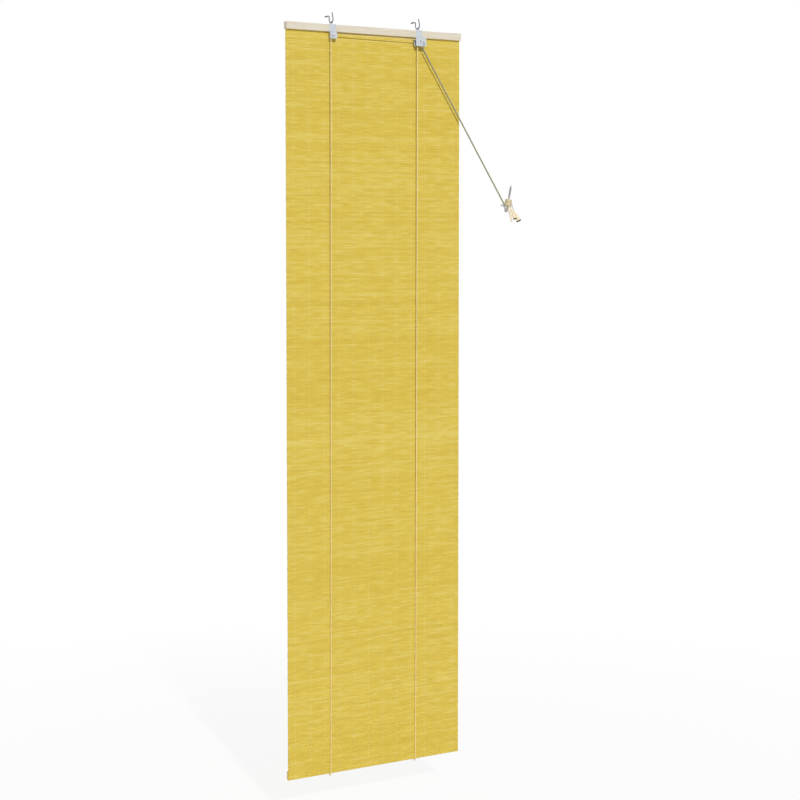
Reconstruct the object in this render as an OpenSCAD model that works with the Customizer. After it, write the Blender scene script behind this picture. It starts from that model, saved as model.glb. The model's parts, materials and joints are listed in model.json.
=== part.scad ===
// Roll-up bamboo slat blind, in millimetres.
// The origin is on the wall, midway between the two hook screws, at the height of their axis.
// X runs to the right, Y runs into the wall and Z runs up.

/* [Mat] */
// Width of the blind
blind_w = 600; // [500:10:900]
// Height of the blind from the top of the rail to the lower edge
blind_h = 2200; // [1200:10:2400]
// Height of one slat with its groove, rounded to fill the mat
slat_pitch = 5.4; // [4.8:0.1:8]
// Thickness of a slat
slat_t = 2; // [1.6:0.1:3]
// Width of the groove between two slats
groove_w = 1; // [0.6:0.1:1.6]
// Thickness of the mat at the bottom of a groove
groove_wall = 0.7; // [0.5:0.05:1]
// Number of slits that let light through the mat
slit_n = 60; // [0:1:80]
// Height of a slit
slit_h = 0.4; // [0.2:0.05:0.5]
// Distance between two warp threads
warp_pitch = 50; // [40:1:60]
// Width of a warp thread
warp_w = 1.2; // [0.8:0.1:2]
// Thickness of a warp thread
warp_t = 0.4; // [0.3:0.05:0.6]

/* [Rail] */
// Height of the two battens
rail_h = 21; // [18:0.5:26]
// Thickness of the front batten
front_batten_t = 8; // [6:0.5:10]
// Thickness of the back batten
back_batten_t = 7; // [6:0.5:8]
// Radius of the long edges of the battens
batten_r = 1.2; // [0.5:0.1:2]
// Number of nails through the rail
nail_n = 5; // [3:1:7]
// Radius of a nail
nail_r = 0.8; // [0.6:0.05:1]
// Height of the bottom slat
bottom_h = 25; // [20:1:30]
// Thickness of the bottom slat
bottom_t = 5; // [4:0.5:6]

/* [Hooks] */
// Distance between the two hooks
hook_spacing = 298; // [240:1:360]
// Radius of the hook wire
wire_r = 1.6; // [1.4:0.05:1.8]
// Height of the screw axis above the rail
hook_rise = 26; // [25:0.5:30]
// Distance from the wall to the middle of the mat
mat_stand_off = 16; // [15:0.5:20]
// Depth of the screw in the wall
screw_depth = 22; // [15:1:30]
// Radius of the bowl of the hook, to the middle of the wire
bowl_r = 11; // [10:0.5:12]

/* [Brackets] */
// Thickness of the bracket sheet
sheet_t = 1.2; // [1:0.1:1.5]
// Width of the strap over the rail
strap_w = 22; // [18:1:26]
// Length of the rear flange
flange_h = 12; // [10:0.5:14]
// Width of the eye lug
lug_w = 10; // [9:0.5:12]
// Radius of the eye
eye_r = 2.6; // [2.4:0.1:3]
// Width of the cord lock housing
lock_w = 36; // [34:1:40]
// Depth of the cord lock housing below the rail
lock_drop = 26; // [25:0.5:28]
// Depth of the left housing below the rail
left_drop = 20; // [19:0.5:22]

/* [Wheels] */
// Outer radius of a wheel
wheel_r = 5.8; // [5.4:0.1:6]
// Radius of the bottom of the groove of a wheel
wheel_groove_r = 3.4; // [3.2:0.1:3.8]
// Width of a wheel
wheel_w = 4.6; // [4:0.1:5]
// Radius of the axles and pins
axle_r = 1.5; // [1.2:0.05:1.6]
// Radial play of a bore on its axle
running_gap = 0.05; // [0.02:0.01:0.1]
// Radius of the lock roller
roller_r = 3.5; // [3:0.1:3.6]
// Travel of the lock pin
lock_travel = 5; // [4:0.1:5]

/* [Cord] */
// Diameter of the cord
cord_d = 2.5; // [2:0.1:2.6]
// Length of the pull cords from the lock to the turns
pull_l = 555; // [300:1:600]
// Length of the peg
peg_l = 47; // [40:1:52]
// Radius of the peg
peg_r = 4.6; // [4:0.1:5.2]
// Length of the cord hook's screw
peg_screw_l = 82; // [70:1:86]
// Radius of the cord hook's screw
peg_screw_r = 2.8; // [2.2:0.1:3.2]
// Height of a tassel
tassel_h = 36; // [30:1:38]
// Radius of the lower end of the left tassel
left_tassel_r = 5; // [4.5:0.1:5.5]
// Radius of the lower end of the right tassel
right_tassel_r = 7.6; // [6:0.1:7.8]

/* [Hidden] */
$fn = 48;
cord_sides = 8;

// Overlap of two solids that are fused, the play of loose pieces and of a press fit
fuse = 0.15;
play = 0.3;
press = 0.05;

// Levels
rail_top = -hook_rise;
rail_bottom = rail_top - rail_h;
mat_bottom = rail_top - blind_h;
mat_y = -mat_stand_off;
mat_front = mat_y - slat_t / 2;
mat_back = mat_y + slat_t / 2;
rail_front = mat_front - front_batten_t;
rail_back = mat_back + back_batten_t;
rail_mid = (rail_front + rail_back) / 2;
hook_x = hook_spacing / 2;
bowl_drop = 9.5;

// Mat
band_slats = 24;
band_n = round(blind_h / (slat_pitch * band_slats));
pitch = (blind_h - play) / (band_n * band_slats);
band_h = pitch * band_slats;
band_step = 0.6;
warp_n = floor(blind_w / warp_pitch);
warp_x0 = -(warp_n - 1) * warp_pitch / 2;
slit_w = warp_pitch - 10;
slit_step = 7;

// Brackets and wheels
plate_front = rail_front - sheet_t;
lane_0 = plate_front - play - wheel_w / 2;
lane_1 = lane_0 - wheel_w - 0.4;
left_cheek = lane_0 - wheel_w / 2 - play;
right_cheek = lane_1 - wheel_w / 2 - play;
cord_r = cord_d / 2;
cord_play = 0.35;
run_r = wheel_groove_r + cord_play + cord_r;
wheel_shift = 2.5;
axle_drop = 12;
wheel_z = rail_bottom - axle_drop;
housing_top = rail_bottom - 1;
lock_bottom = rail_bottom - lock_drop;
left_bottom = rail_bottom - left_drop;
left_wheel_x = -hook_x - wheel_shift;
right_wheel_x = hook_x - wheel_shift;
bore_r = axle_r + running_gap;
lug_z = rail_top + wire_top() - eye_r + press;
head_r = 3;
head_t = 1.2;
rear_head_r = 2.5;
rear_head_t = 1;

// Lock, from the hook middle and the rail bottom
guide_x = hook_x + 7;
guide_z = rail_bottom - 23.8;
lock_x = hook_x + 11.2;
lock_z = rail_bottom - 19;
lock_dir = [-0.6, 0.8];
pull_dir = [0.5479, -0.8366];
guide_run = axle_r + cord_play + cord_r;

function wire_top() = hook_rise - bowl_drop - bowl_r + wire_r;

// Cord route helpers
function unit(v) = v / norm(v);
function arc_xz(cx, cz, y, r, a0, a1, n) =
  [for (i = [0 : n]) let (a = a0 + (a1 - a0) * i / n) [cx + r * cos(a), y, cz + r * sin(a)]];
function tangent_at(p, i) =
  i == 0 ? unit(p[1] - p[0])
  : i == len(p) - 1 ? unit(p[i] - p[i - 1])
  : unit(unit(p[i] - p[i - 1]) + unit(p[i + 1] - p[i]));
function square_to(v, t) = unit(v - (v * t) * t);
function sides_of(p, start) =
  [for (i = 0, s = square_to(start, tangent_at(p, 0)); i < len(p);
    i = i + 1, s = i < len(p) ? square_to(s, tangent_at(p, i)) : s) s];

module tube(p, r, start) {
  side = sides_of(p, start);
  n = cord_sides;
  points = [for (i = [0 : len(p) - 1]) let (t = tangent_at(p, i), u = side[i], w = cross(t, u))
    for (k = [0 : n - 1]) p[i] + r * (u * cos(360 * k / n) + w * sin(360 * k / n))];
  last = (len(p) - 1) * n;
  faces = concat(
    [[for (k = [0 : n - 1]) k]],
    [for (i = [0 : len(p) - 2]) for (k = [0 : n - 1])
      [i * n + k, (i + 1) * n + k, (i + 1) * n + (k + 1) % n]],
    [for (i = [0 : len(p) - 2]) for (k = [0 : n - 1])
      [i * n + k, (i + 1) * n + (k + 1) % n, i * n + (k + 1) % n]],
    [[for (k = [n - 1 : -1 : 0]) last + k]]);
  polyhedron(points, faces);
}

// A plate in the XZ plane from y0 towards the front
module plate(y0, t) {
  translate([0, y0, 0])
    rotate([90, 0, 0])
      linear_extrude(t)
        children();
}

// A round bar along Y from y0 to y1
module bar_y(x, z, r, y0, y1) {
  translate([x, y1, z])
    rotate([90, 0, 0])
      cylinder(h = y1 - y0, r = r);
}

module round_square(w, h, r) {
  translate([r, 0])
    square([w - 2 * r, h]);
  translate([0, r])
    square([w, h - 2 * r]);
  for (x = [r, w - r])
    for (y = [r, h - r])
      translate([x, y])
        circle(r);
}

// Rail
module nail_holes(r, y0, y1) {
  for (i = [0 : nail_n - 1])
    bar_y((i - (nail_n - 1) / 2) * nail_pitch, rail_top - rail_h / 2, r, y0, y1);
}

nail_pitch = (blind_w - 60) / (nail_n - 1);
nail_tip = rail_front + 2.5;
nail_head_r = 2;
nail_head_t = 0.6;
staple_leg = 5;
staple_half = 2.2;
staple_r = 0.5;
staple_z = rail_top - 17.5;
cord_back_y = rail_back + 0.05 + cord_r;

module front_batten() {
  color([0.87, 0.84, 0.74])
    difference() {
      translate([-blind_w / 2, rail_front, rail_bottom])
        rotate([90, 0, 90])
          linear_extrude(blind_w)
            round_square(front_batten_t, rail_h, batten_r);
      nail_holes(nail_r + press, nail_tip - press, mat_front + 1);
    }
}

module back_batten() {
  color([0.87, 0.84, 0.74])
    difference() {
      translate([-blind_w / 2, mat_back, rail_bottom])
        rotate([90, 0, 90])
          linear_extrude(blind_w)
            round_square(back_batten_t, rail_h, batten_r);
      nail_holes(nail_r + press, mat_back - 1, rail_back + 1);
      for (x = [left_cord_x, right_cord_x])
        for (s = [-1, 1])
          bar_y(x + s * staple_half, staple_z, staple_r + press, rail_back - staple_leg - press, rail_back + 1);
      for (x = [-hook_x, hook_x])
        bar_y(x, screw_z, screw_r + press, rail_back - screw_l - press, rail_back + 1);
    }
}

module rail_nails() {
  color([0.6, 0.6, 0.62]) {
    nail_holes(nail_r, nail_tip, rail_back + nail_head_t / 2);
    nail_holes(nail_head_r, rail_back, rail_back + nail_head_t);
  }
}

// Mat
function slat_side(s) =
  [for (i = [0 : band_slats - 1])
    each [[s * groove_wall / 2, i * pitch], [s * slat_t / 2, i * pitch + groove_w / 2],
      [s * slat_t / 2, (i + 1) * pitch - groove_w / 2]]];

function band_profile(low) =
  let (front = slat_side(-1), back = slat_side(1), foot = low ? 0 : -fuse)
  concat([[-groove_wall / 2, foot]], front, [[-groove_wall / 2, band_h], [groove_wall / 2, band_h]],
    [for (i = [len(back) - 1 : -1 : 0]) back[i]], [[groove_wall / 2, foot]]);

module band(b) {
  length = blind_w - band_step * (b % 2);
  difference() {
    translate([-length / 2, mat_y, mat_bottom + b * band_h])
      rotate([90, 0, 90])
        linear_extrude(length)
          polygon(band_profile(b == 0));
    for (k = [0 : slit_n - 1])
      if (floor(k * band_n / slit_n) == b && b < band_n - 1)
        slit(b, k);
    if (b == band_n - 1)
      nail_holes(nail_r + press, mat_front - 1, mat_back + 1);
  }
}

// Slit k sits in a groove of band b, between two warp threads
module slit(b, k) {
  row = 2 + (k * 5) % (band_slats - 4);
  column = (k * slit_step) % (warp_n - 1);
  translate([warp_x0 + (column + 0.5) * warp_pitch - slit_w / 2, mat_y - slat_t,
    mat_bottom + b * band_h + row * pitch - slit_h / 2])
    cube([slit_w, 2 * slat_t, slit_h]);
}

module slat_mat() {
  color([0.85, 0.75, 0.36])
    union()
      for (b = [0 : band_n - 1])
        band(b);
}

module warp_threads() {
  warp_h = blind_h - rail_h - 2;
  color([0.9, 0.84, 0.6])
    for (i = [0 : warp_n - 1])
      for (y = [mat_front - warp_t, mat_back])
        translate([warp_x0 + i * warp_pitch - warp_w / 2, y, mat_bottom + 1])
          cube([warp_w, warp_t, warp_h]);
}

module bottom_slat() {
  color([0.8, 0.7, 0.4])
    translate([-blind_w / 2, mat_back + warp_t + play, mat_bottom + 2])
      rotate([90, 0, 90])
        linear_extrude(blind_w)
          round_square(bottom_t, bottom_h, batten_r);
}

// Hooks
module hook(x) {
  bowl_z = rail_top + hook_rise - bowl_drop;
  bend_r = 3;
  back_y = rail_mid + bowl_r;
  shank_l = -(back_y + bend_r);
  arm_h = 14;
  arm_lean = 20;
  bead_l = 0.2;
  bead_a = 1;
  point_l = 5;
  translate([x, 0, 0]) {
    translate([0, screw_depth - point_l, 0])
      rotate([90, 0, 0])
        cylinder(h = screw_depth - point_l + shank_l, r = wire_r);
    translate([0, screw_depth - point_l, 0])
      rotate([-90, 0, 0])
        cylinder(h = point_l, r1 = wire_r, r2 = 0.3);
    translate([0, back_y + bend_r, -bend_r])
      rotate([90, 0, 90])
        rotate([0, 0, 90])
          rotate_extrude(angle = 90)
            translate([bend_r, 0])
              circle(wire_r);
    translate([0, back_y, bowl_z])
      cylinder(h = -bend_r - bowl_z, r = wire_r);
    translate([0, rail_mid, bowl_z])
      rotate([90, 0, 90])
        mirror([0, 1, 0])
          rotate_extrude(angle = 180 + arm_lean - bead_a)
            translate([bowl_r, 0])
              circle(wire_r);
    translate([0, rail_mid, bowl_z])
      rotate([-arm_lean, 0, 0])
        translate([0, -bowl_r, 0]) {
          sphere(wire_r + press);
          translate([0, 0, bead_l])
            cylinder(h = arm_h - bead_l, r = wire_r);
          translate([0, 0, arm_h])
            sphere(wire_r);
        }
  }
}

module left_hook() {
  color([0.45, 0.45, 0.47])
    hook(-hook_x);
}

module right_hook() {
  color([0.45, 0.45, 0.47])
    hook(hook_x);
}

// Brackets
screw_z = rail_top - 7;
screw_r = 1.2;
screw_l = 5;
screw_head_r = 2.6;
screw_head_t = 1.4;
left_cord_x = left_wheel_x - run_r;
right_cord_x = right_wheel_x - run_r;

module strap(x, front_low) {
  translate([x - strap_w / 2, plate_front, front_low])
    cube([strap_w, sheet_t, rail_top + sheet_t - front_low]);
  translate([x - strap_w / 2, plate_front, rail_top])
    cube([strap_w, rail_back - plate_front + sheet_t, sheet_t]);
  translate([x - strap_w / 2, rail_back, rail_top - flange_h])
    cube([strap_w, sheet_t, flange_h + sheet_t]);
  difference() {
    plate(rail_mid + sheet_t / 2, sheet_t) {
      translate([x - lug_w / 2, rail_top])
        square([lug_w, lug_z - rail_top]);
      translate([x, lug_z])
        circle(lug_w / 2);
    }
    bar_y(x, lug_z, eye_r, rail_mid - 5, rail_mid + 5);
  }
}

module left_bracket() {
  low = left_bottom;
  width = strap_w;
  color([0.82, 0.85, 0.89])
    difference() {
      union() {
        strap(-hook_x, low);
        translate([-hook_x - width / 2, left_cheek - sheet_t, low])
          cube([width, sheet_t, housing_top - low]);
        translate([-hook_x - width / 2, left_cheek - sheet_t, low])
          cube([sheet_t, plate_front - left_cheek + 2 * sheet_t, housing_top - low]);
        translate([-hook_x - width / 2, left_cheek - sheet_t, housing_top - sheet_t])
          cube([width, plate_front - left_cheek + 2 * sheet_t, sheet_t]);
      }
      bar_y(left_wheel_x, wheel_z, axle_r + press, left_cheek - 5, rail_front + 1);
      bar_y(-hook_x, screw_z, screw_r + press, rail_back - 1, rail_back + 5);
    }
}

module slot(y0, y1) {
  r = axle_r + running_gap;
  angle = atan2(lock_dir[1], lock_dir[0]);
  bar_y(lock_x, lock_z, r, y0, y1);
  bar_y(lock_x + lock_travel * lock_dir[0], lock_z + lock_travel * lock_dir[1], r, y0, y1);
  translate([lock_x, y1, lock_z])
    rotate([90, -angle, 0])
      translate([0, -r, 0])
        cube([lock_travel, 2 * r, y1 - y0]);
}

module right_bracket() {
  low = lock_bottom;
  left = hook_x - lock_w / 2;
  depth = plate_front - right_cheek + 2 * sheet_t;
  corner = 4;
  color([0.82, 0.85, 0.89])
    difference() {
      union() {
        strap(hook_x, housing_top - sheet_t);
        for (y = [plate_front + sheet_t, right_cheek])
          plate(y, sheet_t)
            translate([left, low]) {
              translate([corner, 0])
                square([lock_w - corner, housing_top - low]);
              translate([0, corner])
                square([lock_w, housing_top - low - corner]);
              translate([corner, corner])
                circle(corner);
            }
        translate([left + lock_w - sheet_t, right_cheek - sheet_t, low + 8])
          cube([sheet_t, depth, housing_top - low - 8]);
        translate([left, right_cheek - sheet_t, housing_top - sheet_t])
          cube([lock_w, depth, sheet_t]);
      }
      bar_y(right_wheel_x, wheel_z, axle_r + press, right_cheek - 5, rail_front + 1);
      bar_y(guide_x, guide_z, axle_r + press, right_cheek - 5, rail_front + 1);
      slot(right_cheek - 5, rail_front + 1);
      bar_y(hook_x, screw_z, screw_r + press, rail_back - 1, rail_back + 5);
    }
}

module bracket_screws() {
  color([0.7, 0.7, 0.72])
    for (x = [-hook_x, hook_x]) {
      bar_y(x, screw_z, screw_r, rail_back - screw_l, rail_back + sheet_t + 0.5);
      bar_y(x, screw_z, screw_head_r, rail_back + sheet_t, rail_back + sheet_t + screw_head_t);
    }
}

module wheel(x, y) {
  half = wheel_w / 2;
  rim = 0.3;
  floor_half = 1;
  translate([x, y, wheel_z])
    rotate([90, 0, 0])
      rotate_extrude()
        polygon([[bore_r, -half], [wheel_r, -half], [wheel_r, -half + rim], [wheel_groove_r, -floor_half],
          [wheel_groove_r, floor_half], [wheel_r, half - rim], [wheel_r, half], [bore_r, half]]);
}

module left_wheel() {
  color([0.75, 0.76, 0.78])
    wheel(left_wheel_x, lane_0);
}

module back_lock_wheel() {
  color([0.75, 0.76, 0.78])
    wheel(right_wheel_x, lane_0);
}

module front_lock_wheel() {
  color([0.75, 0.76, 0.78])
    wheel(right_wheel_x, lane_1);
}

// A riveted pin through the cheek and the back plate, with a head at each end
module rivet(x, z, cheek) {
  bar_y(x, z, axle_r, cheek - sheet_t - 0.5, rail_front);
  bar_y(x, z, head_r, cheek - sheet_t - head_t, cheek - sheet_t);
  bar_y(x, z, rear_head_r, rail_front, rail_front + rear_head_t);
}

module left_axle() {
  color([0.65, 0.66, 0.68])
    rivet(left_wheel_x, wheel_z, left_cheek);
}

module lock_axle() {
  color([0.65, 0.66, 0.68])
    rivet(right_wheel_x, wheel_z, right_cheek);
}

module guide_pin() {
  color([0.65, 0.66, 0.68])
    rivet(guide_x, guide_z, right_cheek);
}

pin_head_r = 2.6;
pin_head_t = 0.8;

module lock_pin() {
  color([0.65, 0.66, 0.68]) {
    bar_y(lock_x, lock_z, axle_r, right_cheek - sheet_t - play - 0.4, rail_front + play + 0.4);
    bar_y(lock_x, lock_z, pin_head_r, right_cheek - sheet_t - play - pin_head_t, right_cheek - sheet_t - play);
    bar_y(lock_x, lock_z, pin_head_r, rail_front + play, rail_front + play + pin_head_t);
  }
}

module lock_roller() {
  color([0.7, 0.71, 0.74])
    difference() {
      bar_y(lock_x, lock_z, roller_r, right_cheek + play, plate_front - play);
      bar_y(lock_x, lock_z, bore_r, right_cheek, plate_front);
    }
}

// Cords held by the blind
u_y = (cord_back_y + mat_front - warp_t - play - cord_r) / 2;
u_r = cord_back_y - u_y;
cord_top = rail_top - 13.5;

function rising_run(x, lane) =
  concat([[x, cord_back_y, cord_top], [x, cord_back_y, mat_bottom]],
    [for (i = [1 : 6]) [x, u_y + u_r * cos(-30 * i), mat_bottom + u_r * sin(-30 * i)]],
    [[x, lane, wheel_z]]);

// From the top of a lock wheel over it, under the roller and round the guide pin
d_x = guide_x - right_wheel_x;
d_z = guide_z - wheel_z;
d_l = norm([d_x, d_z]);
leave_a = atan2(d_z, d_x) + acos((run_r + guide_run) / d_l);
pull_a = atan2(pull_dir[1], pull_dir[0]) - 90;
guide_a0 = leave_a + 180;
guide_a1 = pull_a + 360;
lift_tail = 3;
end_x = guide_x + guide_run * cos(guide_a1) + lift_tail * pull_dir[0];
end_z = guide_z + guide_run * sin(guide_a1) + lift_tail * pull_dir[1];

function lock_end(y) = concat(
  arc_xz(right_wheel_x, wheel_z, y, run_r, 90 - (90 - leave_a) / 3, leave_a, 2),
  arc_xz(guide_x, guide_z, y, guide_run, guide_a0, guide_a1, 2),
  [[end_x, y, end_z]]);

cross_z = wheel_z + run_r;
left_route = concat(
  rising_run(left_cord_x, lane_0),
  [for (i = [1 : 3]) let (a = 180 - 30 * i) [left_wheel_x + run_r * cos(a), lane_0, wheel_z + run_r * sin(a)]],
  [[right_wheel_x, lane_1, cross_z]],
  lock_end(lane_1));
right_route = concat(
  rising_run(right_cord_x, lane_0),
  [for (i = [1 : 3]) let (a = 180 - 30 * i) [right_wheel_x + run_r * cos(a), lane_0, wheel_z + run_r * sin(a)]],
  lock_end(lane_0));

module left_lift_cord() {
  color([0.9, 0.82, 0.55])
    tube(left_route, cord_r, [1, 0, 0]);
}

module right_lift_cord() {
  color([0.9, 0.82, 0.55])
    tube(right_route, cord_r, [1, 0, 0]);
}

module cord_staples() {
  color([0.7, 0.7, 0.72])
    for (x = [left_cord_x, right_cord_x]) {
      for (s = [-1, 1])
        bar_y(x + s * staple_half, staple_z, staple_r, rail_back - staple_leg, cord_back_y + cord_r + 0.1 + staple_r);
      translate([x - staple_half - staple_r, cord_back_y + cord_r + 0.1, staple_z - staple_r])
        cube([2 * staple_half + 2 * staple_r, 2 * staple_r, 2 * staple_r]);
    }
}

// Free end of the cord
pull_start_x = end_x + 0.2 * pull_dir[0];
pull_start_z = end_z + 0.2 * pull_dir[1];
knob_x = pull_start_x + pull_l * pull_dir[0];
knob_z = pull_start_z + pull_l * pull_dir[1];
pull_y = (lane_0 + lane_1) / 2;
screw_tilt = 12;
peg_tilt = 15.7;
wrap_r = 11;
wrap_h = 24;
wrap_x = knob_x + wrap_r + 2.29;
wrap_z = knob_z + 6;
pull_gap = cord_r + 0.25;

module pull_cord(y0, s) {
  tube([[pull_start_x, y0, pull_start_z],
    [pull_start_x + 60 * pull_dir[0], pull_y + s * pull_gap, pull_start_z + 60 * pull_dir[1]],
    [knob_x - 60 * pull_dir[0], pull_y + s * pull_gap, knob_z - 60 * pull_dir[1]],
    [knob_x, pull_y + s * pull_gap, knob_z]], cord_r, [0, 1, 0]);
}

module left_pull_cord() {
  color([0.72, 0.72, 0.69])
    pull_cord(lane_1, -1);
}

module right_pull_cord() {
  color([0.72, 0.72, 0.69])
    pull_cord(lane_0, 1);
}

// The screw frame has its origin in the middle of the turns and Z along the screw
module at_screw() {
  translate([wrap_x, pull_y, wrap_z])
    rotate([0, screw_tilt, 0])
      children();
}

peg_x = wrap_x - 2.73;
peg_z = wrap_z - 13.21;
peg_y = pull_y - 7.8;
shank_below = 14;

module peg() {
  color([0.97, 0.91, 0.8])
    translate([peg_x, peg_y, peg_z])
      rotate([0, -peg_tilt, 0])
        rotate_extrude()
          polygon([[0, 0], [peg_r - 1.6, 0], [peg_r - 0.4, -4], [peg_r, -14], [peg_r - 1, 7 - peg_l],
            [peg_r - 2.2, 1 - peg_l], [0, -peg_l]]);
}

module peg_screw() {
  low = -wrap_h / 2 - shank_below;
  high = low + peg_screw_l;
  color([0.55, 0.55, 0.56])
    at_screw()
      rotate_extrude()
        polygon([[0, low], [peg_screw_r - 0.8, low], [peg_screw_r, low + 1.5], [peg_screw_r, wrap_h / 2 + 2], [peg_screw_r - 0.5, high - 10],
          [0.3, high], [0, high]]);
}

module cord_wraps() {
  turns = 9;
  turn_h = wrap_h / turns;
  bulge = 1.2;
  hole = peg_screw_r + press;
  color([0.72, 0.72, 0.69])
    at_screw()
      translate([0, 0, -wrap_h / 2])
        rotate_extrude()
          polygon(concat([[hole, 0]],
            [for (i = [0 : turns - 1]) each [[wrap_r - bulge, i * turn_h], [wrap_r, (i + 0.5) * turn_h]]],
            [[wrap_r - bulge, wrap_h], [hole, wrap_h]]));
}

// Tassels hang to the right of the turns, with their open ends to the front
tassel_lean = 18;
left_tilt = 11.6;
right_tilt = 20.9;
left_top = [wrap_x + 12, pull_y, wrap_z - 16.5];
right_top = [wrap_x + 22, pull_y, wrap_z - 24.5];

module tassel(top, tilt, r) {
  translate(top)
    rotate([-tassel_lean, -tilt, 0])
      rotate_extrude()
        polygon([[0, 0], [2.2, 0], [2.8, -1], [3, -0.3 * tassel_h], [0.6 * r + 1, -0.55 * tassel_h],
          [r, 4 - tassel_h], [r, 1 - tassel_h], [r - 0.8, -tassel_h], [r - 1.6, -tassel_h],
          [r - 2.6, 6 - tassel_h], [0, 6 - tassel_h]]);
}

module left_tassel() {
  color([0.9, 0.82, 0.66])
    tassel(left_top, left_tilt, left_tassel_r);
}

module right_tassel() {
  color([0.9, 0.82, 0.66])
    tassel(right_top, right_tilt, right_tassel_r);
}

// A tail leaves the side of the turns and ends on the top of its tassel
module tail(top, tilt, rise) {
  along = [-sin(tilt) * cos(tassel_lean), sin(tassel_lean), cos(tassel_lean) * cos(tilt)];
  out = [cos(screw_tilt), 0, -sin(screw_tilt)];
  up = [sin(screw_tilt), 0, cos(screw_tilt)];
  middle = [wrap_x, pull_y, wrap_z];
  tube([middle + (wrap_r + 1.05) * out + rise * up,
    middle + (wrap_r + 2.5) * out + (rise - 1.5) * up,
    top + 4 * along,
    top + 0.1 * along], cord_r - 0.3, [0, 1, 0]);
}

module left_tail_cord() {
  color([0.72, 0.72, 0.69])
    tail(left_top, left_tilt, -3);
}

module right_tail_cord() {
  color([0.72, 0.72, 0.69])
    tail(right_top, right_tilt, 4);
}

front_batten();
back_batten();
rail_nails();
slat_mat();
warp_threads();
bottom_slat();
left_bracket();
left_wheel();
left_axle();
right_bracket();
front_lock_wheel();
back_lock_wheel();
lock_axle();
guide_pin();
lock_pin();
lock_roller();
left_hook();
right_hook();
bracket_screws();
cord_staples();
left_lift_cord();
right_lift_cord();
left_pull_cord();
right_pull_cord();
cord_wraps();
left_tail_cord();
right_tail_cord();
peg();
peg_screw();
left_tassel();
right_tassel();
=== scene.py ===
"""Roll-up bamboo slat blind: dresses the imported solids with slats, weave, cord and finishes."""

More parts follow.
